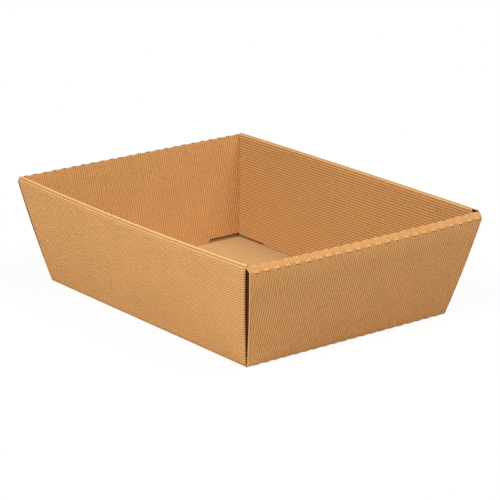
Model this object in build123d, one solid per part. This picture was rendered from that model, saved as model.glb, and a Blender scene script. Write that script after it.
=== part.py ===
"""Flared tray folded from one blank of open-flute card, with rolled double walls.

X runs along the long walls, Y along the short ones and Z up. The origin is under the middle of the floor.
The flutes of the blank run along X: they lie along the long walls and climb the short ones. Every fold
keeps them outwards, so they show under the floor, outside the walls and, past the rims, on the inside.
"""
import os
from math import ceil

from build123d import *

# Folded outline, over the crests of the flutes
base_length = 359.0
base_width = 265.0
top_length = 420.0
top_width = 310.5
short_crease_height = 110.5
long_crease_height = 112.0

# Rims: from the outer crease, inwards and up to the top fold
short_rim_in = 5.5
short_rim_up = 4.7
long_rim_in = 3.3
long_rim_up = 5.6
long_fold_land = 3.4

# Card
flute_pitch = 3.0
flute_height = 1.1
liner_thickness = 0.4
crest_start_share = 0.3
crest_end_share = 0.7

# Double walls: thickness at the floor, room between layers and room over the floor
short_wall_foot = 3.6
long_wall_foot = 4.6
layer_gap = 0.2
foot_clearance = 0.3

# Cut ends of the long walls: set back from the corner, at the bottom and at the crease
corner_gap_bottom = 0.1
corner_gap_top = 6.0

# Crease pressed into the floor along its folds, under the double walls
crease_depth = 0.15

# Inner walls: the stretch that stands on the floor, and the recess on both sides of it
short_foot_stand = 160.0
short_recess_height = 4.5
long_foot_stand = 254.0
long_recess_height = 1.8

# Perforation along the outer crease of a short wall
slit_spacing = 12.8
slit_length = 5.2
slit_height = 0.7
slit_depth = 6.0

# Corner flaps, trapped inside the long walls
flap_length = 62.0
flap_taper = 12.0
flap_thickness = 0.7
flap_bottom_margin = 4.0
flap_top_margin = 6.0

# Length by which a cutting shape passes what it cuts
overrun = 20.0

# Card thickness, heights and the flutes that fit across the floor
board = liner_thickness + flute_height
floor_top = board
foot_height = floor_top + foot_clearance
foot_cut_height = floor_top + foot_clearance / 2
floor_flutes = 2 * round(base_width / flute_pitch / 2)
floor_pitch = base_width / floor_flutes

# Folds of a long wall (Y, Z) and of a short wall (X, Z), on the crests
long_bottom = Vector(base_width / 2, 0)
long_crease = Vector(top_width / 2, long_crease_height)
long_fold = long_crease + Vector(-long_rim_in, long_rim_up)
long_foot = Vector(base_width / 2 - long_wall_foot, foot_height)
short_bottom = Vector(base_length / 2, 0)
short_crease = Vector(top_length / 2, short_crease_height)
short_fold = short_crease + Vector(-short_rim_in, short_rim_up)
short_foot = Vector(base_length / 2 - short_wall_foot, foot_height)
above_rims = max(long_fold.Y, short_fold.Y) + overrun
past_walls = top_length / 2 + overrun


def left_of(start, end):
    """Unit vector to the left of a line, where the bare side of the card is."""
    along = (end - start).normalized()
    return Vector(-along.Y, along.X)


def moved(start, end, depth):
    """The line from start to end, moved into the card by a depth."""
    shift = left_of(start, end) * depth
    return start + shift, end + shift


def at_height(line, height):
    """Point of a line, or of its extension, at a height."""
    start, end = line
    return start + (end - start) * ((height - start.Y) / (end.Y - start.Y))


def inset_path(path, depth):
    """A folded line moved into the card: mitred at its folds and level at its foot."""
    normals = [left_of(start, end) for start, end in zip(path, path[1:])]
    points = [path[0] + normals[0] * depth]
    for fold, before, after in zip(path[1:], normals, normals[1:]):
        points.append(fold + (before + after) * (depth / (1 + before.dot(after))))
    points.append(path[-1] + Vector(depth / normals[-1].X, 0))
    return points


def fluted_panel(start, end, first_valley, land_start, land_end):
    """Crests and valleys of a panel whose flutes lie along its folds, up to its last crest or valley."""
    along = (end - start).normalized()
    inwards = left_of(start, end) * flute_height
    room = (end - start).length - land_start - land_end
    count = max(1, round(room / flute_pitch))
    pitch = room / count
    edge = start + along * land_start
    points = [start, edge + inwards] if land_start else [first_valley]
    for flute in range(count):
        points.append(edge + along * (pitch * (flute + crest_start_share)))
        points.append(edge + along * (pitch * (flute + crest_end_share)))
        if flute < count - 1 or land_end:
            points.append(edge + along * (pitch * (flute + 1)) + inwards)
    return points


def long_section():
    """Section across the tray: floor, long outer walls, rims and long inner walls as one folded sheet."""
    path = [Vector(0, 0), long_bottom, long_crease, long_fold, long_foot]
    lands = [0, 0, 0, long_fold_land, 0]
    lands_before_fold = [0, 0, long_fold_land, 0]
    valleys = inset_path(path, flute_height)
    bare_side = inset_path(path, board)
    half = []
    for panel, land_end in enumerate(lands_before_fold):
        half += fluted_panel(path[panel], path[panel + 1], valleys[panel], lands[panel], land_end)
    half += [valleys[-1], *bare_side[:0:-1]]
    other_half = [Vector(-point.X, point.Y) for point in reversed(half[1:])]
    return Plane.YZ * make_face(Polyline(*half, *other_half, close=True))


def across(outline):
    """Prism of an outline along the tray (X, Z), running across the whole tray."""
    return extrude(Plane.XZ * make_face(Polyline(*outline, close=True)), amount=past_walls, both=True)


def along_from(outline, start):
    """Prism of an outline across the tray (Y, Z), from a place on X to past the short wall."""
    face = Plane.YZ.offset(start) * make_face(Polyline(*outline, close=True))
    return extrude(face, amount=past_walls - start)


def both_ends(shape):
    """A shape at the +X end, with its mirror image at the other end."""
    return [shape, mirror(shape, about=Plane.YZ)]


def both_sides(shape):
    """A shape on the +Y side, with its mirror image on the other side."""
    return [shape, mirror(shape, about=Plane.XZ)]


def between_slopes(low, high):
    """Prism along the tray between a slope (Y, Z) and its mirror image."""
    bottom = at_height((low, high), -overrun)
    top = at_height((low, high), above_rims)
    return along_from([bottom, top, Vector(-top.X, top.Y), Vector(-bottom.X, bottom.Y)], -past_walls)


def fold_line_inside(bottom, crease):
    """Place where the top of the floor meets the bare side of a wall."""
    return inset_path([Vector(0, 0), bottom, crease], board)[1]


def floor_crease():
    """Frame-shaped crease round the clear part of the floor."""
    length = 2 * fold_line_inside(short_bottom, short_crease).X
    width = 2 * fold_line_inside(long_bottom, long_crease).X
    clear_length = 2 * (short_foot.X - layer_gap)
    clear_width = 2 * (long_foot.X - layer_gap)
    band = Box(length, width, 2 * crease_depth) - Box(clear_length, clear_width, 2 * crease_depth)
    return Pos(0, 0, floor_top) * band


def inner_layer(fold, foot, low, high):
    """Outline round the inner card of a double wall, between two heights."""
    behind = moved(fold, foot, board + layer_gap / 2)
    inside = moved(fold, foot, -overrun)
    return [at_height(behind, low), at_height(behind, high), at_height(inside, high), at_height(inside, low)]


def long_walls():
    """Floor and long double walls, with cut ends, shortened inner walls and recessed feet."""
    mitre = fold_line_inside(short_bottom, short_crease)
    cut_end = (short_bottom - Vector(corner_gap_bottom, 0), short_crease - Vector(corner_gap_top, 0))
    end_outline = [
        at_height((mitre, short_bottom), -overrun),
        mitre,
        at_height(cut_end, floor_top),
        at_height(cut_end, above_rims),
        Vector(past_walls, above_rims),
        Vector(past_walls, -overrun),
    ]
    short_bare_side = moved(short_bottom, short_crease, board + layer_gap)
    inner_end_outline = [
        at_height(short_bare_side, foot_cut_height),
        at_height(cut_end, foot_cut_height),
        cut_end[1],
    ]
    inside_long_walls = between_slopes(*moved(long_bottom, long_crease, board + layer_gap / 2))
    inner_end = across(inner_end_outline) & inside_long_walls
    recess_outline = inner_layer(long_fold, long_foot, foot_cut_height, floor_top + long_recess_height)
    recess = along_from(recess_outline, long_foot_stand / 2)

    walls = extrude(long_section(), amount=past_walls, both=True)
    walls -= both_ends(across(end_outline))
    walls -= both_ends(inner_end)
    walls -= floor_crease()
    for side in both_sides(recess):
        walls -= both_ends(side)
    return walls


def fluted_strip():
    """Section of the card across its flutes, (Y, depth), wide enough for the widest short wall."""
    reach = ceil(top_width / 2 / floor_pitch)
    points = []
    for flute in range(-reach, reach):
        points.append((floor_pitch * flute, flute_height))
        points.append((floor_pitch * (flute + crest_start_share), 0))
        points.append((floor_pitch * (flute + crest_end_share), 0))
    edge = floor_pitch * reach
    return make_face(Polyline(*points, (edge, flute_height), (edge, board), (-edge, board), close=True))


def corner_flap():
    """Flap at the +X, +Y corner: folded round from the short wall, pressed flat inside the long wall."""
    slope = (long_crease - long_bottom).length
    inwards = left_of(long_bottom, long_crease)
    long_face = Plane(origin=(0, long_bottom.X, 0), x_dir=(1, 0, 0), z_dir=(0, inwards.X, inwards.Y))
    low = flap_bottom_margin
    high = slope - flap_top_margin
    fold_line = base_length / 2
    outline = [
        (past_walls, low),
        (fold_line, low),
        (fold_line - flap_length, low + flap_taper),
        (fold_line - flap_length, high - flap_taper),
        (fold_line, high),
        (past_walls, high),
    ]
    flap_face = long_face.offset(board + layer_gap) * make_face(Polyline(*outline, close=True))
    flap = extrude(flap_face, flap_thickness)
    corner_fold, corner_top = moved(short_bottom, short_crease, flute_height)
    outwards = -left_of(corner_fold, corner_top)
    corner = Plane(origin=(corner_fold.X, 0, corner_fold.Y), z_dir=(outwards.X, 0, outwards.Y))
    return split(flap, bisect_by=corner, keep=Keep.BOTTOM)


def short_wall():
    """Short double wall at the +X end: fluted strip folded up, over the rim and down inside, with flaps."""
    start = at_height((short_bottom, short_crease), -overrun)
    end = at_height((short_fold, short_foot), -overrun)
    path = Polyline(*[(fold.X, 0, fold.Y) for fold in (start, short_crease, short_fold, end)])
    up = short_crease - start
    strip = Plane(origin=(start.X, 0, start.Y), x_dir=(0, 1, 0), z_dir=(up.X, 0, up.Y)) * fluted_strip()
    wall = sweep(strip, path=path, transition=Transition.RIGHT)

    mitre = fold_line_inside(short_bottom, short_crease)
    inside = short_foot.X - overrun
    below_outline = [
        at_height(moved(short_fold, short_foot, board + layer_gap / 2), foot_height),
        mitre,
        at_height((mitre, short_bottom), -overrun),
        Vector(inside, -overrun),
        Vector(inside, foot_height),
    ]
    wall -= across(below_outline)
    wall &= between_slopes(*moved(long_bottom, long_crease, board + layer_gap))

    inner_card = across(inner_layer(short_fold, short_foot, foot_cut_height, above_rims))
    wall -= inner_card - between_slopes(*moved(long_foot, long_fold, layer_gap))
    recess = across(inner_layer(short_fold, short_foot, foot_cut_height, floor_top + short_recess_height))
    stand = Box(2 * past_walls, short_foot_stand, above_rims)
    wall -= recess - stand

    slit = Pos(short_crease.X, 0, short_crease.Y) * Box(slit_depth, slit_length, slit_height)
    slit_count = int(top_width / slit_spacing)
    first_slit = -slit_spacing * (slit_count - 1) / 2
    wall -= [Pos(0, first_slit + slit_spacing * place, 0) * slit for place in range(slit_count)]
    return wall + both_sides(corner_flap())


os.makedirs("parts", exist_ok=True)
tray = long_walls() + both_ends(short_wall())
export_step(tray.solid(), "parts/tray.step")
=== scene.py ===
"""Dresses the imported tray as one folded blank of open-flute card, on a pale studio floor.

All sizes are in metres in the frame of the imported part: X runs along the long walls, Y along the short
walls and Z up. Each panel has two papers, a plain liner and a fluted paper on its outer side.
"""
import math

import bmesh
import bpy
from bpy.props import FloatProperty, FloatVectorProperty, IntProperty, PointerProperty
from mathutils import Matrix, Vector


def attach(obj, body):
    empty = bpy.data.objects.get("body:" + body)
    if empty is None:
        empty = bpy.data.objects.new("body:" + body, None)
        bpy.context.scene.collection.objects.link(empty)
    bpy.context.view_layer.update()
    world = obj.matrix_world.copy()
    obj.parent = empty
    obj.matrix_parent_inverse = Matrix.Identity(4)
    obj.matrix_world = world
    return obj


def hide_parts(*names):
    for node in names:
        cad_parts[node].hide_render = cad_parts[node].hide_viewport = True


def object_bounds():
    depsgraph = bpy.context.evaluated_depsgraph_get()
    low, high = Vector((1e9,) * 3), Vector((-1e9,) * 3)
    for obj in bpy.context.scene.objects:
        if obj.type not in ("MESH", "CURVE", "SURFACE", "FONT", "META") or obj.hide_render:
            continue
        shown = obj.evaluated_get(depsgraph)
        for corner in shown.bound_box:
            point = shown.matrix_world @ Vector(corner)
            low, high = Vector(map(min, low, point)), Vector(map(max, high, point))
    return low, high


bl_info = {
    "name": "Cardboard tray",
    "version": (1, 0, 0),
    "blender": (4, 5, 0),
    "location": "View3D > Sidebar > Tray",
    "description": "Builds a folded tray of open-flute card on its packed frame",
    "category": "Object",
}

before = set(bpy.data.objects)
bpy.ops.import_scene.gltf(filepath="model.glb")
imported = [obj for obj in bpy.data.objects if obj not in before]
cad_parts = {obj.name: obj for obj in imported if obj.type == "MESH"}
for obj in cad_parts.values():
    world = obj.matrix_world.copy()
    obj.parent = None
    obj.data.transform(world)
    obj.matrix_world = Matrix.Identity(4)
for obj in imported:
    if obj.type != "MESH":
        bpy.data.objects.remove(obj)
cad_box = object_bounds()
cad_low, cad_high = cad_box
NODE = "tray"
BODY = "root"


# Settings


def setting(make, **kind):
    """Makes settings of one kind that a user can change."""
    return lambda name, text, default: make(name=name, description=text, default=default, **kind)


length = setting(FloatProperty, unit="LENGTH", precision=5)
share_of = setting(FloatProperty, subtype="FACTOR")
power = setting(FloatProperty, unit="POWER")
angle = setting(FloatProperty, subtype="ANGLE")
millimetres = setting(FloatProperty, unit="CAMERA")
count = setting(IntProperty, min=3)
pair = setting(FloatVectorProperty, size=2, unit="LENGTH", precision=5)
colour = setting(FloatVectorProperty, subtype="COLOR", min=0.0, max=1.0)
point = setting(FloatVectorProperty, subtype="XYZ", unit="LENGTH")


class CardSizes(bpy.types.PropertyGroup):
    """Sizes of the card."""

    flute_pitch: length("Flute pitch", "From one flute to the next", 0.0030)
    flute_height: length("Flute height", "From the liner to the crests", 0.0011)
    flute_paper: length("Fluted paper", "Thickness of the fluted paper", 0.00022)
    liner_paper: length("Liner paper", "Thickness of the plain liner", 0.00036)
    fold_radius: length("Fold radius", "Radius of the liner's outer face at a fold", 0.0006)
    roll_radius: length("Roll radius", "The same at the top of a long wall's rolled rim", 0.0012)
    bend_radius: length("Bend radius", "The same where a long wall bends in to its rim", 0.0060)
    fold_crush: share_of("Fold crush", "Share of a flute's height lost at a fold across it", 0.75)
    crush_reach: length("Crush reach", "How far from such a fold the flutes are crushed", 0.0014)
    flute_steps: count("Flute steps", "Points across one flute", 8)


class TraySizes(bpy.types.PropertyGroup):
    """Sizes of the folded tray, over the crests."""

    base_length: length("Base length", "Floor along the long walls", 0.3570)
    base_width: length("Base width", "Floor along the short walls", 0.2676)
    top_length: length("Top length", "Over the creases of the short walls", cad_high[0] - cad_low[0])
    top_width: length("Top width", "Over the creases of the long walls", 0.3105)
    short_crease: length("Short crease", "Height of a short wall's outer crease", 0.1118)
    long_crease: length("Long crease", "Height of a long wall's outer crease", 0.1120)
    short_tip: pair("Short tip", "Set-back of a short wall's top fold, and its height", (0.00647, 0.1172))
    long_bend: length("Long bend", "Height at which a long wall bends in to its rim", 0.11440)
    long_tip: pair("Long tip", "The same on a long wall", (0.00355, 0.1206))
    feet: pair("Feet", "Thickness of the short and the long double walls at the floor", (0.0036, 0.0046))
    foot_height: length("Foot height", "Lower edge of the inner walls", 0.0018)
    layer_gap: length("Layer gap", "Room between two layers of card", 0.0002)
    rim_crest: length("Rim crest", "From the tip of a long wall's rim out to its first crest", 0.0012)
    rim_open: pair("Rim opening", "Set-back and height of a long inner wall's corner at +X", (0.0070, 0.0080))
    corner_gap: pair("Corner gap", "Set-back of a long wall's end, at the floor and crease", (0.0016, 0.0040))
    wide_gap: pair("Wide gap", "The same at the open corner", (0.0040, 0.0079))
    end_bevel: share_of("End bevel", "How far the cut there runs out for each step behind the crests", 1.9)
    corner_reach: length("Corner reach", "How far the short wall there passes the long one's liner", 0.0012)
    rim_round: length("Rim rounding", "Set-back of a long rim's tip at the other corners", 0.0032)
    inner_press: pair("Press", "Press of a short inner wall's ends, and more at the rim", (0.0008, 0.0016))
    inner_gap: length("Inner gap", "Set-back of a long inner wall's ends at the rim", 0.0070)
    short_recess: pair(
        "Short recess", "Stretch of a short inner wall that stands, and edge beside it", (0.1700, 0.0060)
    )
    long_recess: pair("Long recess", "The same on a long inner wall", (0.2540, 0.0037))
    recess_corner: length("Recess corner", "Bevel where a recess begins", 0.0025)
    foot_bevel: pair("Foot bevel", "Length and height of the walls' bevelled lower corners", (0.0060, 0.0014))
    floor_seam: length("Floor seam", "From a floor fold in to where the wall's own strip begins", 0.0030)
    perforation: length("Perforation", "From one slit of a short wall's creases to the next", 0.0128)
    slit: length("Slit", "Length of one slit", 0.0055)
    tabs: pair("Tabs", "How far the slits lie below a crease and behind a top fold", (0.0012, 0.0002))
    flap: length("Flap", "Length of a corner flap", 0.0620)
    flap_taper: length("Flap taper", "Slope of the flap's ends", 0.0120)
    flap_room: pair("Flap room", "From a flap to the floor and to the short wall's crease", (0.0016, 0.0004))
    flap_step: pair("Flap step", "Step of a flap behind its fold, at the floor and crease", (0.0007, 0.0015))
    flap_paper: length("Flap thickness", "Thickness of a pressed corner flap", 0.0006)
    flap_radius: length("Flap fold radius", "Outer radius of a flap's fold", 0.0004)
    belly: length("Belly", "Outward curve of a short outer wall at half its height", 0.0016)
    long_bow: pair("Long bow", "Outward bow of the long walls at -Y and at +Y", (0.0066, 0.0020))
    short_bow: pair("Short bow", "Outward bow of the short walls at +X and at -X", (0.0044, 0.0003))


class KraftFinish(bpy.types.PropertyGroup):
    """Colours and surface of the card."""

    flute: colour("Flutes", "Fluted paper", (0.62, 0.330, 0.125))
    # Valleys: painted shade, a darker colour between the crests that stands in for the shade in the flutes
    valley_shade: colour("Valleys", "Fluted paper between its crests", (0.51, 0.255, 0.087))
    crest: colour("Rubbed crests", "Rubbed crests and folds", (0.76, 0.465, 0.210))
    liner: colour("Liner", "Plain face of the liner", (0.570, 0.346, 0.153))
    fibre: colour("Dark fibres", "Fibres in the paper", (0.20, 0.082, 0.024))
    # Painted shade: a dark brown that stands in for the deep shade in the gaps between two layers
    painted_shade: colour("Grime", "Dust and shade in the gaps between two layers", (0.075, 0.022, 0.004))
    roughness: share_of("Roughness", "Mean roughness", 0.82)
    sheen: share_of("Sheen", "Strength of the paper's mirror light", 0.1)
    grain: share_of("Grain", "Strength of the fibres' relief", 0.25)
    grain_height: length("Grain height", "Height of that relief", 0.00012)


class StageSettings(bpy.types.PropertyGroup):
    """Camera, floor and light."""

    azimuth: angle("Azimuth", "Camera's turn about Z", math.radians(52.056))
    elevation: angle("Elevation", "Camera's angle over the floor", math.radians(17.522))
    distance: length("Distance", "From the camera to its target", 2.5196)
    target: point("Target", "Point that the camera faces", (0.0039, 0.0056, 0.0534))
    sensor: millimetres("Sensor", "Camera's sensor width in millimetres", 36.0)
    lens: millimetres("Lens", "Focal length in millimetres", 167.2)
    floor_colour: colour("Floor", "Studio floor and background", (1.0, 1.0, 1.0))
    floor_half: length("Floor half", "Half the side of the studio floor", 6.0)
    shadow: share_of("Shadow", "How much of the soft shadow the floor shows", 0.10)
    shadow_near: length("Shadow near", "From the tray's middle to where the shadow fades", 0.26)
    shadow_far: length("Shadow far", "From the tray's middle to where it has gone", 0.50)
    sky: share_of("Sky", "Strength of the even light from all sides", 0.12)
    key: power("Key light", "Power of the lamp in front", 42.8)
    key_place: point("Key place", "Where the lamp in front stands", (0.40, -1.50, 1.65))
    key_colour: colour("Key colour", "Light of the lamp in front", (1.0, 1.0, 1.0))
    fill: power("Fill light", "Power of the lamp on the right", 38.5)
    fill_place: point("Fill place", "Where the lamp on the right stands", (1.05, 0.78, 1.98))
    fill_colour: colour("Fill colour", "Light of the lamp on the right", (1.0, 0.955, 0.935))
    lamp_side: length("Lamp side", "Side of a square lamp", 1.4)


# Node trees


class Term:
    """A socket in an expression: an operator between terms adds a Math node."""

    def __init__(self, board, socket):
        self.board = board
        self.socket = socket

    def math(self, operation, *values):
        """A Math node on this term and other values."""
        return self.board.term("ShaderNodeMath", {"operation": operation}, dict(enumerate((self, *values))))

    def __add__(self, other):
        return self.math("ADD", other)

    def __sub__(self, other):
        return self.math("SUBTRACT", other)

    def __rsub__(self, other):
        return (self * -1.0).math("ADD", other)

    def __mul__(self, other):
        return self.math("MULTIPLY", other)

    def __truediv__(self, other):
        return self.math("DIVIDE", other)

    __radd__ = __add__
    __rmul__ = __mul__


class Board:
    """A node tree that nodes are put on."""

    def __init__(self, tree):
        self.tree = tree

    def node(self, kind, settings=None, inputs=None):
        """Adds a node of a type: its settings first, then the values or links of its sockets."""
        node = self.tree.nodes.new(kind)
        for name, value in (settings or {}).items():
            setattr(node, name, value)
        for name, value in (inputs or {}).items():
            if isinstance(value, Term):
                self.tree.links.new(value.socket, node.inputs[name])
            else:
                node.inputs[name].default_value = value
        return node

    def term(self, kind, settings=None, inputs=None, output=0):
        """A node's output as a term."""
        return Term(self, self.node(kind, settings, inputs).outputs[output])

    def smooth(self, value, low, high):
        """A smooth step from 0 at one value to 1 at another."""
        limits = {"Value": value, "From Min": low, "From Max": high}
        return self.term("ShaderNodeMapRange", {"interpolation_type": "SMOOTHSTEP"}, limits)

    def moved(self, place, way, far):
        """A place moved along a vector by a factor."""
        step = self.term("ShaderNodeVectorMath", {"operation": "SCALE"}, {0: way, "Scale": far})
        return self.term("ShaderNodeVectorMath", {"operation": "ADD"}, {0: place, 1: step})


def blank_board(owner):
    """The emptied node tree of a material or a world."""
    owner.use_nodes = True
    owner.node_tree.nodes.clear()
    return Board(owner.node_tree)


SHEET_TREE = "Folded sheet"
SHEET_INPUTS = {
    "Geometry": "Geometry",
    "Path": "Object",
    "Columns": "Int",
    "Half Span": "Float",
    "Across": "Vector",
    "Flute Pitch": "Float",
    "Flute Height": "Float",
    "Flute Base": "Float",
    "Fluted": "Bool",
    "Flutes Climb": "Bool",
    "Perforation": "Float",
    "Slit": "Float",
    "Material": "Material",
}
# Where a slit is closed and where it is open, from its middle in shares of half its length
SLIT_CLOSED, SLIT_OPEN = 1.25, 0.95
SLIT_GONE = 0.9


def sheet_tree():
    """Geometry Nodes for one fluted paper or plain liner that follows a folded path.

    The path's points give the rows of the sheet, and its columns run across the path. Each row carries where
    it lies, the way it faces, how far along the path it is, how high its flutes stand and how far it bows.
    Slits follow the rows where the path is cut.
    """
    tree = bpy.data.node_groups.new(SHEET_TREE, "GeometryNodeTree")
    board = Board(tree)
    tree.interface.new_socket("Geometry", in_out="OUTPUT", socket_type="NodeSocketGeometry")
    for name, kind in SHEET_INPUTS.items():
        tree.interface.new_socket(name, in_out="INPUT", socket_type=f"NodeSocket{kind}")
    inputs = board.node("NodeGroupInput").outputs
    given = {name: Term(board, inputs[name]) for name in SHEET_INPUTS}

    path = board.term("GeometryNodeObjectInfo", None, {"Object": given["Path"]}, "Geometry")
    rows = board.term("GeometryNodeAttributeDomainSize", {"component": "MESH"}, {"Geometry": path})
    columns = given["Columns"]
    grid = {"Size X": rows - 1.0, "Size Y": columns - 1.0, "Vertices X": rows, "Vertices Y": columns}
    made = board.term("GeometryNodeMeshGrid", None, grid, "Mesh")
    spot = board.node("ShaderNodeSeparateXYZ", None, {0: board.term("GeometryNodeInputPosition")}).outputs
    row = (Term(board, spot["X"]) + (rows - 1.0) * 0.5).math("ROUND")
    share = Term(board, spot["Y"]) / (columns - 1.0) * 2.0
    across = share * given["Half Span"]

    def of_row(name, kind="FLOAT"):
        """A named value of the path at this row."""
        field = board.term("GeometryNodeInputNamedAttribute", {"data_type": kind}, {"Name": name})
        sample = {"data_type": kind, "domain": "POINT", "clamp": True}
        return board.term("GeometryNodeSampleIndex", sample, {0: path, 1: field, 2: row})

    def where_cut(name):
        """A vector of the row, or the one that it has where its slit is open."""
        pair = {4: of_row(name, "FLOAT_VECTOR"), 5: of_row(f"cut_{name}", "FLOAT_VECTOR")}
        return board.term("ShaderNodeMix", {"data_type": "VECTOR"}, {0: open_share, **pair}, 1)

    spacing = given["Perforation"]
    from_slit = ((across / spacing).math("FRACT") - 0.5).math("ABSOLUTE") * spacing
    half_slit = given["Slit"] * 0.5
    open_share = board.smooth(from_slit, half_slit * SLIT_CLOSED, half_slit * SLIT_OPEN)
    lift = of_row("lift")
    lift = lift + (1.0 - lift) * open_share

    along = of_row("along")
    ways = {0: given["Flutes Climb"], 1: along, 2: across}
    by = board.term("GeometryNodeSwitch", {"input_type": "FLOAT"}, ways)
    wave = (by / given["Flute Pitch"] * math.tau).math("COSINE") * 0.5 + 0.5
    fluted = given["Fluted"]
    crest = wave * lift * fluted
    height = crest * given["Flute Height"] + fluted * given["Flute Base"]

    where = board.moved(where_cut("place"), given["Across"], across)
    where = board.moved(where, where_cut("facing"), height)
    where = board.moved(where, of_row("sway", "FLOAT_VECTOR"), 1.0 - share * share)
    stored = {
        "along": along,
        "crest": crest,
        "liner": 1.0 - fluted,
        # Wear and shade: rubbing where it is above zero, painted shade where it is below, with painted shade
        # deeper in the valleys of rows that have it
        "worn": of_row("worn") - (1.0 - wave) * of_row("deep"),
        "slit_row": of_row("slit_row") * open_share,
    }
    number = {"data_type": "FLOAT"}
    for name, value in stored.items():
        values = {"Geometry": made, "Name": name, "Value": value}
        made = board.term("GeometryNodeStoreNamedAttribute", {**number, "domain": "POINT"}, values)
    made = board.term("GeometryNodeSetPosition", None, {"Geometry": made, "Position": where})
    kept = board.term("GeometryNodeInputNamedAttribute", number, {"Name": "slit_row"})
    gone = board.term("FunctionNodeCompare", {**number, "operation": "GREATER_THAN"}, {0: kept, 1: SLIT_GONE})
    made = board.term("GeometryNodeDeleteGeometry", {"domain": "FACE"}, {"Geometry": made, "Selection": gone})
    made = board.term("GeometryNodeRealizeInstances", None, {"Geometry": made})
    painted = {"Geometry": made, "Material": given["Material"]}
    made = board.term("GeometryNodeSetMaterial", None, painted)
    board.node("NodeGroupOutput", None, {0: made})
    return tree


# Folded paths

TINY = 1e-9
TOP_STEPS = 2000


def on_axis(axis, value, height=0.0):
    """A vector along X or Y, with a height."""
    made = Vector((0.0, 0.0, height))
    made[axis] = value
    return made


def left_of(start, end):
    """Unit vector to the left of a line, where the bare side of the card is."""
    way = (end - start).normalized()
    return Vector((-way.y, way.x))


def spread(start, end, step):
    """Places from a start to an end, as near to a step apart as fits, without the end."""
    parts = max(1, round((end - start) / step))
    return [start + (end - start) * index / parts for index in range(parts)]


def inset_path(path, depth):
    """A folded line moved into the card, mitred at its folds."""
    normals = [left_of(start, end) for start, end in zip(path, path[1:])]
    points = [path[0] + normals[0] * depth]
    for fold, before, after in zip(path[1:], normals, normals[1:]):
        points.append(fold + (before + after) * (depth / (1.0 + before.dot(after))))
    points.append(path[-1] + normals[-1] * depth)
    return points


class Row:
    """One row of a folded sheet, in the plane of its path."""

    def __init__(self, place, facing, along):
        self.place = self.cut_place = place
        self.facing = self.cut_facing = facing
        self.along = along
        self.lift = 1.0
        self.slit_row = self.worn = self.deep = 0.0
        self.sway = Vector((0.0, 0.0, 0.0))


class Stretch:
    """A straight panel of a folded line, or the arc of a fold about its centre when it has a radius."""

    def __init__(self, start, span, origin, way, radius):
        self.start = start
        self.span = span
        self.end = start + span
        self.origin = origin
        self.way = way
        self.radius = radius

    def row(self, along):
        """The row at a place along the line."""
        done = along - self.start
        facing = Vector((self.way.y, -self.way.x))
        if not self.radius:
            return Row(self.origin + self.way * done, facing, along)
        facing = Matrix.Rotation(done / self.radius, 2) @ facing
        return Row(self.origin + facing * self.radius, facing, along)


class FoldedLine:
    """A line with rounded folds: straight panels and arcs, measured along its length."""

    def __init__(self, points, radii):
        self.pieces = []
        self.length = 0.0
        ways = [(end - start).normalized() for start, end in zip(points, points[1:])]
        start = points[0]
        for way, after, fold, radius in zip(ways, ways[1:], points[1:], radii):
            turn = abs(way.angle_signed(after))
            rounding = radius * math.tan(turn / 2)
            end = fold - way * rounding
            self.add((end - start).length, start, way)
            self.add(radius * turn, end + Vector((-way.y, way.x)) * radius, way, radius)
            start = fold + after * rounding
        self.add((points[-1] - start).length, start, ways[-1])
        self.panels = self.pieces[0::2]
        self.bends = self.pieces[1::2]
        self.folds = [bend.start + bend.span / 2 for bend in self.bends]

    def add(self, span, origin, way, radius=0.0):
        """Adds a panel or a fold at the end."""
        self.pieces.append(Stretch(self.length, span, origin, way, radius))
        self.length += span

    def row(self, along):
        """The row at a place along the line."""
        piece = next((piece for piece in self.pieces if along <= piece.end + TINY), self.pieces[-1])
        return piece.row(along)

    def panel(self, along):
        """The number of the panel at a place along the line."""
        return sum(along > fold for fold in self.folds)

    def top(self):
        """Height of the highest point."""
        return max(self.row(self.length * step / TOP_STEPS).place.y for step in range(TOP_STEPS + 1))

    def stops(self, panel_step, bend_step):
        """Places along the line, a step apart on its panels and closer on its folds."""
        places = []
        for piece in self.pieces:
            places += spread(piece.start, piece.end, bend_step if piece.radius else panel_step)
        return [*places, self.length]

    def open_fold(self, row, fold, slit):
        """Gives a row beside an open slit its place: straight on from the panel on its side of the slit."""
        bend = self.bends[fold]
        if slit <= row.along <= bend.end + TINY:
            edge = self.row(bend.end)
        elif bend.start - TINY <= row.along < slit:
            edge = self.row(bend.start)
        else:
            return
        way = Vector((-edge.facing.y, edge.facing.x))
        row.cut_place = edge.place + way * (row.along - edge.along)
        row.cut_facing = edge.facing


class Stand:
    """Where a folded sheet stands: across X or Y, on which side, and how far it bows out at its rim."""

    def __init__(self, axis, side, bow=0.0):
        self.axis = axis
        self.side = side
        self.bow = bow

    def upright(self, spot):
        """A point of the sheet's path in the tray's frame."""
        return on_axis(self.axis, self.side * spot.x, spot.y)

    def across(self):
        """The way of the sheet's columns."""
        return on_axis(1 - self.axis, self.side if self.axis == 1 else -self.side)

    def bend(self, rows, top):
        """Gives rows a bow that grows with height."""
        for row in rows:
            row.sway = on_axis(self.axis, self.side) * (self.bow * max(0.0, row.place.y) / top)


def new_object(name, data):
    """An object in the scene, at the origin."""
    made = bpy.data.objects.new(name, data)
    bpy.context.scene.collection.objects.link(made)
    return made


def store(mesh, name, values):
    """Stores a number for each vertex under a name."""
    mesh.attributes.new(name, "FLOAT", "POINT").data.foreach_set("value", values)


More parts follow.
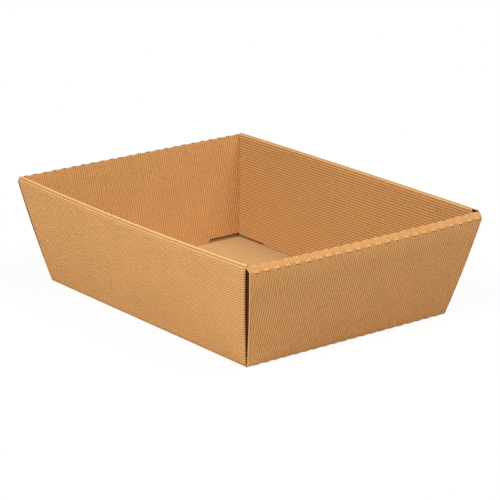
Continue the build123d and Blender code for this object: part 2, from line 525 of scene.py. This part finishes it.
def path_object(rows, stand):
    """A line of vertices that carries the rows for the sheet's node tree."""
    in_plane = ("place", "cut_place", "facing", "cut_facing")
    vectors = {key: [stand.upright(getattr(row, key)) for row in rows] for key in in_plane}
    vectors["sway"] = [row.sway for row in rows]
    mesh = bpy.data.meshes.new("path")
    mesh.from_pydata(vectors["place"], [(index, index + 1) for index in range(len(rows) - 1)], [])
    for key, values in vectors.items():
        layer = mesh.attributes.new(key, "FLOAT_VECTOR", "POINT")
        layer.data.foreach_set("vector", [number for value in values for number in value])
    for key in ("along", "lift", "slit_row", "worn", "deep"):
        store(mesh, key, [getattr(row, key) for row in rows])
    return new_object("path", mesh)


def plain_mesh(made):
    """The evaluated mesh of an object, which is then removed with its modifiers."""
    bpy.context.view_layer.update()
    graph = bpy.context.evaluated_depsgraph_get()
    mesh = bpy.data.meshes.new_from_object(made.evaluated_get(graph), depsgraph=graph)
    bpy.data.objects.remove(made)
    if not mesh.polygons:
        raise RuntimeError(f"{mesh.name} came out empty")
    return mesh


def folded_sheet(rows, stand, values):
    """A sheet along a path, as a plain mesh."""
    path = path_object(rows, stand)
    holder = new_object("sheet", bpy.data.meshes.new("sheet"))
    modifier = holder.modifiers.new(SHEET_TREE, "NODES")
    modifier.node_group = bpy.data.node_groups.get(SHEET_TREE) or sheet_tree()
    sockets = modifier.node_group.interface.items_tree
    names = {socket.name: socket.identifier for socket in sockets if socket.in_out == "INPUT"}
    for key, value in {"Path": path, "Across": tuple(stand.across()), **values}.items():
        modifier[names[key]] = value
    mesh = plain_mesh(holder)
    bpy.data.objects.remove(path)
    return mesh


def thickened(mesh, thickness):
    """A sheet with its paper's thickness, towards the bare side."""
    holder = new_object(mesh.name, mesh)
    solid = holder.modifiers.new("Paper", "SOLIDIFY")
    solid.thickness = thickness
    solid.offset = -1.0
    solid.use_even_offset = True
    solid.use_quality_normals = True
    return plain_mesh(holder)


# Cutting to outline

FLOOR_EDGE, OUTER, RIM, INNER = range(4)
ENDS = (-1.0, 1.0)
# Sides along X and Y
OPEN_CORNER = (1.0, -1.0)
UP = Vector((0.0, 0.0, 1.0))
SNAP = 1e-7


def cut_faces(shape, faces, place, normal):
    """Splits faces along a plane and returns them all."""
    parts = set(faces)
    for face in faces:
        parts.update(face.edges, face.verts)
    result = bmesh.ops.bisect_plane(shape, geom=list(parts), dist=SNAP, plane_co=place, plane_no=normal)
    return [part for part in result["geom"] if isinstance(part, bmesh.types.BMFace)]


def wasted(face, corners):
    """Whether a face lies past all planes of a corner that is cut off."""
    spot = face.calc_center_median()
    return any(all((spot - place).dot(normal) > 0.0 for place, normal in corner) for corner in corners)


def trim(mesh, panel_of, cuts):
    """Cuts panels to their outlines. A cut has its panel and the corners to cut off, as lists of planes."""
    shape = bmesh.new()
    shape.from_mesh(mesh)
    along = shape.verts.layers.float["along"]
    numbers = shape.faces.layers.int.new("panel")
    for face in shape.faces:
        face[numbers] = panel_of(sum(vert[along] for vert in face.verts) / len(face.verts))
    for panel, corners in cuts:
        faces = [face for face in shape.faces if face[numbers] == panel]
        planes = {(*place, *normal): (place, normal) for corner in corners for place, normal in corner}
        for place, normal in planes.values():
            faces = cut_faces(shape, faces, place, normal)
        gone = [face for face in faces if wasted(face, corners)]
        bmesh.ops.delete(shape, geom=gone, context="FACES")
    shape.to_mesh(mesh)
    shape.free()


class Slope:
    """A slanted cut at the ends of a panel: its distance from the middle grows evenly with height."""

    lean = 0.0

    def __init__(self, axis, low, high, ends=ENDS):
        self.axis = axis
        self.ends = ends
        self.rise = (high[0] - low[0]) / (high[1] - low[1])
        self.base = low[0] - self.rise * low[1]

    def at(self, height):
        """Distance from the middle at a height."""
        return self.base + self.rise * height

    def moved(self, shift, end):
        """The same slope further out, at one end."""
        return Slope(self.axis, (self.at(0.0) + shift, 0.0), (self.at(1.0) + shift, 1.0), (end,))

    def planes(self):
        """A point of the cut and the way out, at each end."""
        found = []
        for end in self.ends:
            out = on_axis(self.axis, end, -self.rise)
            out[1 - self.axis] = self.lean
            found.append((on_axis(self.axis, end * self.base), out))
        return found

    def cut(self, panel):
        """The cut of a panel along this slope."""
        return panel, [[plane] for plane in self.planes()]


class Bevel(Slope):
    """A slope at an end of a long wall that also runs out with the depth behind the wall's crests."""

    def __init__(self, slope, crests, side, share):
        self.axis = slope.axis
        self.ends = slope.ends
        self.base = slope.base + share * crests.base
        self.rise = slope.rise + share * crests.rise
        self.lean = share * side


def level(axis, half):
    """Upright cuts at both ends of a panel."""
    return Slope(axis, (half, 0.0), (half, 1.0))


def beside(axis, start, end, depth, reach=0.0):
    """The slope of a panel's crests moved into the card, and by a reach further out at its upper point."""
    shift = left_of(start, end) * depth
    low, high = sorted((start + shift, end + shift), key=lambda spot: spot.y)
    return Slope(axis, (low.x, low.y), (high.x + reach, high.y))


def recess_cut(axis, stand, height, bevel):
    """Cuts away the lower edge of an inner wall on both sides of the stretch that stands."""
    corners = []
    for end in ENDS:
        out = on_axis(axis, end)
        upper = on_axis(axis, end * (stand / 2 + bevel), height)
        corners.append([(UP * height, -UP), (out * (stand / 2), out), (upper, out - UP)])
    return INNER, corners


def foot_cut(size, axis, half):
    """Bevels the lower corners of an outer wall."""
    long, high = size.foot_bevel
    corners = []
    for end in ENDS:
        corners.append([(on_axis(axis, end * (half - long)), on_axis(axis, end * high, -long))])
    return OUTER, corners


# The tray's lines


def fitted(span, pitch):
    """The pitch nearest to a given one that divides a span into whole flutes."""
    return span / round(span / pitch)


class Lines:
    """Folds of the tray in metres, from its settings."""

    def __init__(self, scene):
        self.card = card = scene.tray_card
        self.size = size = scene.tray_sizes
        flute = card.flute_height
        half_length, half_width = size.base_length / 2, size.base_width / 2
        top_length, top_width = size.top_length / 2, size.top_width / 2
        self.behind = flute + card.liner_paper + size.layer_gap
        self.long_outer = [Vector((half_width, 0.0)), Vector((top_width, size.long_crease))]
        self.short_outer = [Vector((half_length, 0.0)), Vector((top_length, size.short_crease))]
        self.floor_half = half_width - size.floor_seam
        self.floor_end = half_length - size.floor_seam

        long_tip, long_foot = self.inner_wall(top_width, size.long_tip, half_width - size.feet[1])
        long_bend = Vector((beside(1, *self.long_outer, flute).at(size.long_bend), size.long_bend))
        points = inset_path([Vector((self.floor_half, 0.0)), *self.long_outer], flute)[:2]
        radii = [card.fold_radius, card.bend_radius, card.roll_radius]
        self.long_line = FoldedLine([*points, long_bend, long_tip, long_foot], radii)

        short_tip, short_foot = self.inner_wall(top_length, size.short_tip, half_length - size.feet[0])
        points = inset_path([Vector((self.floor_end, 0.0)), *self.short_outer, short_tip], flute)[:3]
        self.short_line = FoldedLine([*points, short_tip, short_foot], [card.fold_radius] * 3)

        self.rim_top = max(self.long_line.top(), self.short_line.top()) + flute
        self.first_fold = self.long_line.folds[0]
        self.pitch = fitted(self.long_line.folds[2] - size.rim_crest - self.first_fold, card.flute_pitch)
        self.floor_pitch = fitted(self.floor_half + self.first_fold, card.flute_pitch)
        self.inner_side = beside(1, long_tip, long_foot, size.inner_press[0] - flute, size.inner_press[1])
        low = (beside(0, *self.short_outer, self.behind).at(size.foot_height), size.foot_height)
        self.inner_end = Slope(0, low, (top_length - size.inner_gap, self.rim_top))

    def inner_wall(self, crease, tip, foot):
        """Tip and foot of an inner wall, on its liner."""
        tip = Vector((crease - tip[0], tip[1]))
        foot = Vector((foot, self.size.foot_height))
        return tip, foot + left_of(tip, foot) * self.card.flute_height

    def belly(self, share):
        """How far a short outer wall curves out at a share of its height."""
        return self.size.belly * 4.0 * share * (1.0 - share)

    def long_cut(self, side, end):
        """The cut at one end of a long wall."""
        size = self.size
        bottom, top = size.wide_gap if (end, side) == OPEN_CORNER else size.corner_gap
        low = (size.base_length / 2 - bottom, 0.0)
        return Slope(0, low, (size.top_length / 2 - top, size.short_crease), (end,))

    def rim_cut(self, side, end):
        """The cut at one end of a long wall's rim."""
        size = self.size
        cut = self.long_cut(side, end)
        if (end, side) == OPEN_CORNER:
            return cut
        low = cut.at(size.long_crease)
        return Slope(0, (low, size.long_crease), (low - size.rim_round, self.rim_top), (end,))

    def short_cut(self, side, end):
        """The cut at one end of a short wall."""
        reach = self.size.corner_reach if (side, end) == OPEN_CORNER else 0.0
        return beside(1, *self.long_outer, self.behind).moved(reach, end)


# Papers and pieces

# Greatest steps along a path, on its panels and on its folds
LONG_STEPS = (0.012, 0.0003)
SHORT_STEPS = (0.020, 0.00022)
FLOOR_STEP = 0.02
# Extra rows of a short wall beside its folds, on panels longer than a limit
BESIDE_FOLD, BESIDE_LIMIT = 0.0012, 0.004
# Half the width of a slit, and the room without other rows about it, in half widths
SLIT_HALF, SLIT_ROOM = 0.00012, 1.5
# Rubbed paper at the long rims and at the short walls' folds
RIM_REACH, RIM_PALE, FOLD_PALE = 0.009, 0.6, 0.6
# Painted shade along the long walls' lower folds, a dark line where contact shade falls
FLOOR_REACH, FLOOR_SHADE = 0.0015, 0.3
# Painted shade on the liners inside the double walls, which stands in for the deep shade there: its share low
# down, the height where it is full, and less of it beside slits
HIDDEN_SHADE, HIDDEN_LOW, HIDDEN_FROM = 0.85, 0.35, 0.030
SLIT_REACH, SLIT_LESS_SHADE = 0.004, 0.75
# Painted shade in the flute valleys of the short outer walls
PAINTED_VALLEY_SHADE = 0.19
# Corner flaps: mesh steps, turn of the fold, depth in the flutes, tapered share of the height and crest value
FLAP_ROWS, FLAP_TURNS, FLAP_PARTS = 14, 8, (0.0, 0.3, 1.0)
FLAP_TURN = math.radians(135)
FLAP_SUNK, FLAP_TAPERED, FLAP_CREST = 0.35, 0.2, 0.8
SHARP_EDGE = math.radians(50)


def near(place, other, reach):
    """1 at a place, and evenly less with the distance from it."""
    return max(0.0, 1.0 - abs(place - other) / reach)


def bell(place, other, reach):
    """1 at a place, and smoothly less with the distance from it."""
    return math.exp(-(((place - other) / reach) ** 2))


def paint_hidden_shade(rows, slits=()):
    """Gives a liner inside a double wall its painted shade, which grows with height and is less beside slit
    folds.
    """
    for row in rows:
        beside_slit = max((bell(row.along, slit, SLIT_REACH) for slit in slits), default=0.0)
        share = min(1.0, max(0.0, row.place.y) / HIDDEN_FROM)
        painted_shade = HIDDEN_SHADE * (HIDDEN_LOW + (1.0 - HIDDEN_LOW) * share)
        row.worn = -painted_shade * (1.0 - SLIT_LESS_SHADE * beside_slit)


def sheet_values(lines, fluted, half_span, columns):
    """Inputs of the sheet's node tree for one paper."""
    card = lines.card
    return {
        "Columns": columns,
        "Half Span": half_span,
        "Flute Pitch": lines.pitch,
        "Flute Height": card.flute_height - card.flute_paper,
        "Flute Base": card.flute_paper,
        "Fluted": fluted,
        "Perforation": lines.size.perforation,
        "Slit": lines.size.slit,
        "Material": kraft(),
    }


def paper(lines, stand, rows, values, panel_of=None, cuts=()):
    """One closed paper of the card: laid along its rows, cut to its outline and given its thickness."""
    stand.bend(rows, lines.rim_top)
    mesh = folded_sheet(rows, stand, values)
    if cuts:
        trim(mesh, panel_of, cuts)
    return thickened(mesh, lines.card.flute_paper if values["Fluted"] else lines.card.liner_paper)


def joined_piece(name, meshes):
    """One object from closed sheets, smooth along its flutes and sharp at its paper edges."""
    shape = bmesh.new()
    for mesh in meshes:
        shape.from_mesh(mesh)
        bpy.data.meshes.remove(mesh)
    whole = bpy.data.meshes.new(name)
    shape.to_mesh(whole)
    shape.free()
    whole.materials.clear()
    whole.materials.append(kraft())
    whole.polygons.foreach_set("use_smooth", [True] * len(whole.polygons))
    whole.polygons.foreach_set("material_index", [0] * len(whole.polygons))
    whole.set_sharp_from_angle(angle=SHARP_EDGE)
    piece = new_object(name, whole)
    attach(piece, BODY)
    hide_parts(NODE)


class TRAY_OT_floor(bpy.types.Operator):
    """Build the floor: plain liner on top, flutes along X underneath"""

    bl_idname = "tray.floor"
    bl_label = "Floor"

    columns: count("Columns", "Columns along the floor", 3)

    def execute(self, context):
        lines = Lines(context.scene)
        half = lines.floor_half
        step = lines.floor_pitch / lines.card.flute_steps
        inner = math.floor(half / step)
        flute_places = [-half, *[step * index for index in range(-inner, inner + 1)], half]
        liner_places = [*spread(-half, half, FLOOR_STEP), half]
        height = lines.card.flute_height
        meshes = []
        for fluted, places in ((True, flute_places), (False, liner_places)):
            rows = [Row(Vector((place, height)), Vector((0.0, -1.0)), place) for place in places]
            values = sheet_values(lines, fluted, lines.floor_end, self.columns)
            values["Flute Pitch"] = lines.floor_pitch
            meshes.append(paper(lines, Stand(1, 1.0), rows, values))
        joined_piece("floor", meshes)
        return {"FINISHED"}


class TRAY_OT_long_walls(bpy.types.Operator):
    """Build both long double walls, rolled over their rims along the flutes"""

    bl_idname = "tray.long_walls"
    bl_label = "Long walls"

    columns: count("Columns", "Columns along a long wall", 25)

    def execute(self, context):
        lines = Lines(context.scene)
        card, size, line = lines.card, lines.size, lines.long_line
        step = lines.pitch / card.flute_steps
        first = lines.first_fold % step
        steps = range(int((line.length - first) / step) + 1)
        flute_stops = [0.0, *[first + step * index for index in steps], line.length]
        liner_stops = line.stops(*LONG_STEPS)
        shared_cuts = [
            level(0, size.base_length / 2 - card.flute_height).cut(FLOOR_EDGE),
            lines.inner_end.cut(INNER),
            self.rim_opening(lines),
            foot_cut(size, 0, size.base_length / 2),
            recess_cut(0, *size.long_recess, size.recess_corner),
        ]
        for name, side, bow in zip(("front", "back"), ENDS, size.long_bow):
            meshes = []
            for fluted, stops, bevel in ((True, flute_stops, size.end_bevel), (False, liner_stops, 0.0)):
                rows = self.rows(lines, stops)
                if not fluted:
                    paint_hidden_shade(rows)
                values = sheet_values(lines, fluted, size.top_length / 2, self.columns)
                cuts = shared_cuts + self.end_cuts(lines, side, bevel)
                meshes.append(paper(lines, Stand(1, side, bow), rows, values, self.panel_of(lines), cuts))
            joined_piece(f"long_wall_{name}", meshes)
        return {"FINISHED"}

    def rows(self, lines, stops):
        """Rows of a long wall's sheet, measured from its first fold: pale at the rim, with painted shade at
        the floor.
        """
        line = lines.long_line
        rows = [line.row(stop) for stop in stops]
        for row in rows:
            pale = near(row.along, line.folds[2], RIM_REACH)
            # Painted shade along the floor fold
            painted_shade = near(row.along, line.folds[0], FLOOR_REACH)
            row.worn = RIM_PALE * pale - FLOOR_SHADE * painted_shade
            row.along -= lines.first_fold
        return rows

    def panel_of(self, lines):
        """Finds a panel's number from a place that is measured from the first fold."""
        return lambda along: lines.long_line.panel(along + lines.first_fold)

    def end_cuts(self, lines, side, bevel):
        """Cuts at both ends of a long wall's rim and outer panel, with a bevel at the open corner."""
        crests = beside(1, *lines.long_outer, 0.0)
        cuts = []
        for end in ENDS:
            slope = lines.long_cut(side, end)
            if (end, side) == OPEN_CORNER:
                slope = Bevel(slope, crests, side, bevel)
            cuts += [lines.rim_cut(side, end).cut(RIM), slope.cut(OUTER)]
        return cuts

    def rim_opening(self, lines):
        """Cuts the upper corner of the inner panel at +X back, so that the rim ends open there."""
        back, height = lines.size.rim_open
        top, ends = lines.rim_top, lines.inner_end
        low = top - height
        slope = Slope(0, (ends.at(low), low), (ends.at(top) - back, top), (1.0,))
        return INNER, [[*slope.planes(), (UP * low, UP)]]


class TRAY_OT_short_walls(bpy.types.Operator):
    """Build both short double walls, folded over perforated creases across the flutes"""

    bl_idname = "tray.short_walls"
    bl_label = "Short walls"

    flute_columns: count("Flute columns", "Columns of the fluted paper for each flute", 6)
    liner_columns: count("Liner columns", "Columns of the liner for each flute", 3)

    def execute(self, context):
        lines = Lines(context.scene)
        size, line = lines.size, lines.short_line
        shared_cuts = [
            level(1, lines.floor_half).cut(FLOOR_EDGE),
            lines.inner_side.cut(INNER),
            foot_cut(size, 1, size.base_width / 2),
            recess_cut(1, *size.short_recess, size.recess_corner),
        ]
        flutes = math.ceil(size.top_width / lines.pitch / 2)
        for name, side, bow in zip(("right", "left"), ENDS[::-1], size.short_bow):
            cuts = list(shared_cuts)
            for end in ENDS:
                slope = lines.short_cut(side, end)
                cuts += [slope.cut(RIM), slope.moved(-size.flap_radius, end).cut(OUTER)]
            meshes = []
            for fluted, columns in ((True, self.flute_columns), (False, self.liner_columns)):
                rows = self.rows(lines)
                if not fluted:
                    paint_hidden_shade(rows, line.folds[1:])
                values = sheet_values(lines, fluted, flutes * lines.pitch, 2 * flutes * columns + 1)
                values["Flutes Climb"] = True
                meshes.append(paper(lines, Stand(0, side, bow), rows, values, line.panel, cuts))
            joined_piece(f"short_wall_{name}", meshes)
        return {"FINISHED"}

    def rows(self, lines):
        """Rows of a short wall's sheet: few on its panels, close on its folds."""
        card, size, line = lines.card, lines.size, lines.short_line
        stops = line.stops(*SHORT_STEPS)
        for panel in line.panels:
            if panel.span > BESIDE_LIMIT:
                stops += [panel.start + BESIDE_FOLD, panel.end - BESIDE_FOLD]
        slits = {1: line.folds[1] - size.tabs[0], 2: line.folds[2] + size.tabs[1]}
        for slit in slits.values():
            stops = [stop for stop in stops if abs(stop - slit) > SLIT_ROOM * SLIT_HALF]
            stops += [slit - SLIT_HALF, slit + SLIT_HALF]
        rows = [line.row(stop) for stop in sorted(stops)]
        outer = line.panels[OUTER]
        for row in rows:
            for fold in line.folds:
                bent = bell(row.along, fold, card.crush_reach)
                row.lift = min(row.lift, 1.0 - card.fold_crush * bent)
                row.worn = max(row.worn, FOLD_PALE * bent)
            for fold, slit in slits.items():
                line.open_fold(row, fold, slit)
                if abs(row.along - slit) < SLIT_ROOM * SLIT_HALF:
                    row.slit_row = 1.0
            share = (row.along - outer.start) / outer.span
            if 0.0 < share < 1.0:
                bulge = row.facing * lines.belly(share)
                row.place = row.place + bulge
                row.cut_place = row.cut_place + bulge
                # Painted shade in the valleys of the outer panel
                row.deep = PAINTED_VALLEY_SHADE
        return rows


class TRAY_OT_corner_flaps(bpy.types.Operator):
    """Build the four corner flaps, turned in from the short walls and trapped in the long ones"""

    bl_idname = "tray.corner_flaps"
    bl_label = "Corner flaps"

    def execute(self, context):
        lines = Lines(context.scene)
        meshes = [self.flap(lines, end, side) for end in ENDS for side in ENDS]
        joined_piece("corner_flaps", [thickened(mesh, lines.size.flap_paper) for mesh in meshes])
        return {"FINISHED"}

    def flap(self, lines, end, side):
        """One flap: a rounded fold along the short wall's end, a step in behind it and a tapered panel."""
        size = lines.size
        bottom, crease = lines.short_outer
        radius = size.flap_radius
        out = Stand(0, end).upright(-left_of(bottom, crease))
        away = Stand(1, side).upright(-left_of(*lines.long_outer))
        inward = on_axis(0, -end)
        slope = lines.short_cut(end, side)
        past = size.corner_reach if (end, side) == OPEN_CORNER else 0.0
        low = size.flap_room[0] / crease.y
        high = 1.0 - size.flap_room[1] / crease.y
        low_step, high_step = size.flap_step
        sunk = lines.card.flute_height * FLAP_SUNK
        verts = []
        for index in range(FLAP_ROWS + 1):
            share = low + (high - low) * index / FLAP_ROWS
            place = Stand(0, end).upright(bottom.lerp(crease, share)) + out * (lines.belly(share) - sunk)
            place.y = side * (slope.at(place.z) - radius)
            centre = place - out * radius
            for step in range(FLAP_TURNS + 1):
                turn = FLAP_TURN * step / FLAP_TURNS
                verts.append(centre + (out * math.cos(turn) + away * math.sin(turn)) * radius)
            near_end = min(index, FLAP_ROWS - index) / FLAP_ROWS
            reach = size.flap - size.flap_taper * near(near_end, 0.0, FLAP_TAPERED)
            depth = past + low_step + (high_step - low_step) * share
            start = verts[-1] + inward * depth - away * depth
            verts += [start + inward * (reach * part) for part in FLAP_PARTS]
        bow = size.long_bow[ENDS.index(side)]
        for vert in verts:
            share = vert.x / (size.top_length / 2)
            vert.y += side * bow * vert.z / lines.rim_top * (1.0 - share * share)
        across = FLAP_TURNS + 1 + len(FLAP_PARTS)
        faces = []
        for index in range(FLAP_ROWS):
            for first in range(index * across, (index + 1) * across - 1):
                quad = (first, first + 1, first + across + 1, first + across)
                faces.append(quad if end * side < 0 else quad[::-1])
        mesh = bpy.data.meshes.new("flap")
        mesh.from_pydata(verts, [], faces)
        # The flap is painted shade from the middle of its fold on: a dark sheet that stands in for the deep
        # shade in the corner gap
        shaded = [2.0 * (index % across) / FLAP_TURNS - 1.0 for index in range(len(verts))]
        store(mesh, "crest", [FLAP_CREST] * len(verts))
        store(mesh, "worn", [-min(1.0, max(0.0, value)) for value in shaded])
        store(mesh, "liner", [0.0] * len(verts))
        return mesh


# Looks

# Noise in the paper: cycles per metre and detail
CLOUD = (30.0, 3.0)
MOTTLE = (260.0, 4.0)
NOISE_ROUGHNESS = 0.6
# Dark marks: cycles per metre, detail, stretch, where they begin and are full, darkness, share of the relief
DARK_MARKS = (
    (1300.0, 3.0, (0.3, 1.0, 1.0), 0.60, 0.74, 0.22, 0.5),
    (1300.0, 3.0, (1.0, 0.3, 1.0), 0.60, 0.74, 0.18, 0.5),
    (1900.0, 2.0, (1.0, 1.0, 1.0), 0.64, 0.76, 0.40, 0.4),
)
CREST_FULL = 0.8
# Where rubbing begins and is full, how the mottle breaks it up and how much smoother it is
RUBBED_FROM, RUBBED_FULL, RUBBED_MOTTLE, RUBBED_SMOOTH = 0.75, 1.55, 0.5, 0.06
# How far cloud and mottle shade the paper, and mottle its roughness
CLOUD_SHADE, MOTTLE_SHADE, MOTTLE_ROUGH = 0.12, 0.14, 0.2


def kraft():
    """Bare kraft paper: mottled brown with fibres and paler on rubbed crests, with painted shade in the
    valleys and in the gaps between layers.
    """
    found = bpy.data.materials.get("bare_kraft")
    if found:
        return found
    finish = bpy.context.scene.tray_finish
    material = bpy.data.materials.new("bare_kraft")
    board = blank_board(material)
    spot = board.term("ShaderNodeTexCoord", output="Object")

    def noise(scale, detail, stretch=(1.0, 1.0, 1.0)):
        """Noise on the object's coordinates."""
        stretched = board.term("ShaderNodeMapping", None, {"Vector": spot, "Scale": stretch})
        values = {"Vector": stretched, "Scale": scale, "Detail": detail, "Roughness": NOISE_ROUGHNESS}
        return board.term("ShaderNodeTexNoise", None, values)

    def mix(factor, first, second, blend="MIX"):
        """A colour between two colours, or their blend."""
        pair = [value if isinstance(value, Term) else (*value, 1.0) for value in (first, second)]
        kind = {"data_type": "RGBA", "blend_type": blend}
        return board.term("ShaderNodeMix", kind, {0: factor, 6: pair[0], 7: pair[1]}, 2)

    def stored(name):
        """A value that the sheet's node tree stored."""
        return board.term("ShaderNodeAttribute", {"attribute_name": name}, None, "Fac")

    crest, worn = stored("crest"), stored("worn")
    cloud = noise(*CLOUD) - 0.5
    mottle = noise(*MOTTLE) - 0.5
    # The flutes' valleys get painted shade, the crests the plain flute colour
    body = mix(board.smooth(crest, 0.0, CREST_FULL), finish.valley_shade, finish.flute)
    body = mix(stored("liner"), body, finish.liner)
    rubbed = board.smooth(crest + worn + mottle * RUBBED_MOTTLE, RUBBED_FROM, RUBBED_FULL)
    body = mix(rubbed, body, finish.crest)
    dark, grain = 0.0, 0.0
    for scale, detail, stretch, begin, full, darkness, relief in DARK_MARKS:
        marks = noise(scale, detail, stretch)
        dark = (board.smooth(marks, begin, full) * darkness).math("MAXIMUM", dark)
        grain = marks * relief + grain
    body = mix(dark, body, finish.fibre)
    # Painted shade: where the stored wear value is below zero, the paper darkens towards a dark brown that
    # stands in for the shade in gaps and valleys
    body = mix((worn * -1.0).math("MAXIMUM", 0.0), body, finish.painted_shade)
    body = mix(1.0, body, 1.0 + cloud * CLOUD_SHADE + mottle * MOTTLE_SHADE, "MULTIPLY")
    relief = {"Strength": finish.grain, "Distance": finish.grain_height, "Height": grain}
    values = {
        "Base Color": body,
        "Roughness": finish.roughness + mottle * MOTTLE_ROUGH - rubbed * RUBBED_SMOOTH,
        "Normal": board.term("ShaderNodeBump", None, relief),
        "Specular IOR Level": finish.sheen,
    }
    surface = board.term("ShaderNodeBsdfPrincipled", None, values)
    board.node("ShaderNodeOutputMaterial", None, {"Surface": surface})
    return material


def in_view(board):
    """1 on rays that the camera sees straight, mirrored or through glass."""
    ray = board.node("ShaderNodeLightPath").outputs
    seen = Term(board, ray["Is Camera Ray"])
    for name in ("Is Glossy Ray", "Is Transmission Ray"):
        seen = seen + Term(board, ray[name])
    return seen.math("MINIMUM", 1.0)


class TRAY_OT_stage(bpy.types.Operator):
    """Set up the pale floor, the soft light and the camera"""

    bl_idname = "tray.stage"
    bl_label = "Stage"

    def execute(self, context):
        scene = context.scene
        settings = scene.tray_stage
        scene.view_settings.view_transform = "Standard"
        self.floor(settings)
        self.world(scene, settings)
        for name in ("key", "fill"):
            self.lamp(settings, name)
        self.camera(scene, settings)
        return {"FINISHED"}

    def floor(self, settings):
        """A wide floor, white to the camera apart from a share of the soft shadow."""
        half = settings.floor_half
        mesh = bpy.data.meshes.new("studio_floor")
        corners = [(-half, -half, 0.0), (half, -half, 0.0), (half, half, 0.0), (-half, half, 0.0)]
        mesh.from_pydata(corners, [], [(0, 1, 2, 3)])
        material = bpy.data.materials.new("studio_floor")
        mesh.materials.append(material)
        board = blank_board(material)
        pale = (*settings.floor_colour, 1.0)
        matt = board.term("ShaderNodeBsdfDiffuse", None, {"Color": pale})
        white = board.term("ShaderNodeEmission", None, {"Color": pale, "Strength": 1.0})
        spot = board.term("ShaderNodeTexCoord", output="Object")
        far = board.term("ShaderNodeVectorMath", {"operation": "LENGTH"}, {0: spot}, "Value")
        fade = board.smooth(far, settings.shadow_near, settings.shadow_far)
        share = in_view(board) * (1.0 - (1.0 - fade) * settings.shadow)
        surface = board.term("ShaderNodeMixShader", None, {0: share, 1: matt, 2: white})
        board.node("ShaderNodeOutputMaterial", None, {"Surface": surface})
        new_object("studio_floor", mesh)

    def world(self, scene, settings):
        """Even light from all sides, behind a white background."""
        scene.world = bpy.data.worlds.new("studio")
        board = blank_board(scene.world)
        strength = settings.sky + in_view(board) * (1.0 - settings.sky)
        values = {"Color": (*settings.floor_colour, 1.0), "Strength": strength}
        light = board.term("ShaderNodeBackground", None, values)
        board.node("ShaderNodeOutputWorld", None, {"Surface": light})

    def lamp(self, settings, name):
        """A square soft lamp that faces the tray."""
        light = bpy.data.lights.new(name, "AREA")
        light.energy = getattr(settings, name)
        light.color = getattr(settings, f"{name}_colour")
        light.size = settings.lamp_side
        lamp = new_object(name, light)
        lamp.location = getattr(settings, f"{name}_place")
        lamp.rotation_euler = lamp.location.to_track_quat("Z", "Y").to_euler()

    def camera(self, scene, settings):
        """The camera at the photograph's angle."""
        turn, rise = settings.azimuth, settings.elevation
        back = Vector((math.sin(turn) * math.cos(rise), -math.cos(turn) * math.cos(rise), math.sin(rise)))
        data = bpy.data.cameras.new("camera")
        data.sensor_width = settings.sensor
        data.lens = settings.lens
        camera = new_object("camera", data)
        camera.location = Vector(settings.target) + back * settings.distance
        camera.rotation_euler = back.to_track_quat("Z", "Y").to_euler()
        scene.camera = camera


class TRAY_PT_panel(bpy.types.Panel):
    """Steps of the tray, in the order in which they run"""

    bl_idname = "TRAY_PT_panel"
    bl_label = "Cardboard tray"
    bl_space_type = "VIEW_3D"
    bl_region_type = "UI"
    bl_category = "Tray"

    def draw(self, context):
        for step in STEPS:
            self.layout.operator(step.bl_idname)


STEPS = (TRAY_OT_floor, TRAY_OT_long_walls, TRAY_OT_short_walls, TRAY_OT_corner_flaps, TRAY_OT_stage)
GROUPS = {
    "tray_card": CardSizes,
    "tray_sizes": TraySizes,
    "tray_finish": KraftFinish,
    "tray_stage": StageSettings,
}
CLASSES = (*GROUPS.values(), *STEPS, TRAY_PT_panel)


def register():
    for kind in CLASSES:
        bpy.utils.register_class(kind)
    for name, kind in GROUPS.items():
        setattr(bpy.types.Scene, name, PointerProperty(type=kind))


def unregister():
    for name in GROUPS:
        delattr(bpy.types.Scene, name)
    for kind in reversed(CLASSES):
        bpy.utils.unregister_class(kind)


def main():
    register()
    bpy.ops.tray.floor()
    bpy.ops.tray.long_walls()
    bpy.ops.tray.short_walls()
    bpy.ops.tray.corner_flaps()
    bpy.ops.tray.stage()


if __name__ == "__main__":
    main()
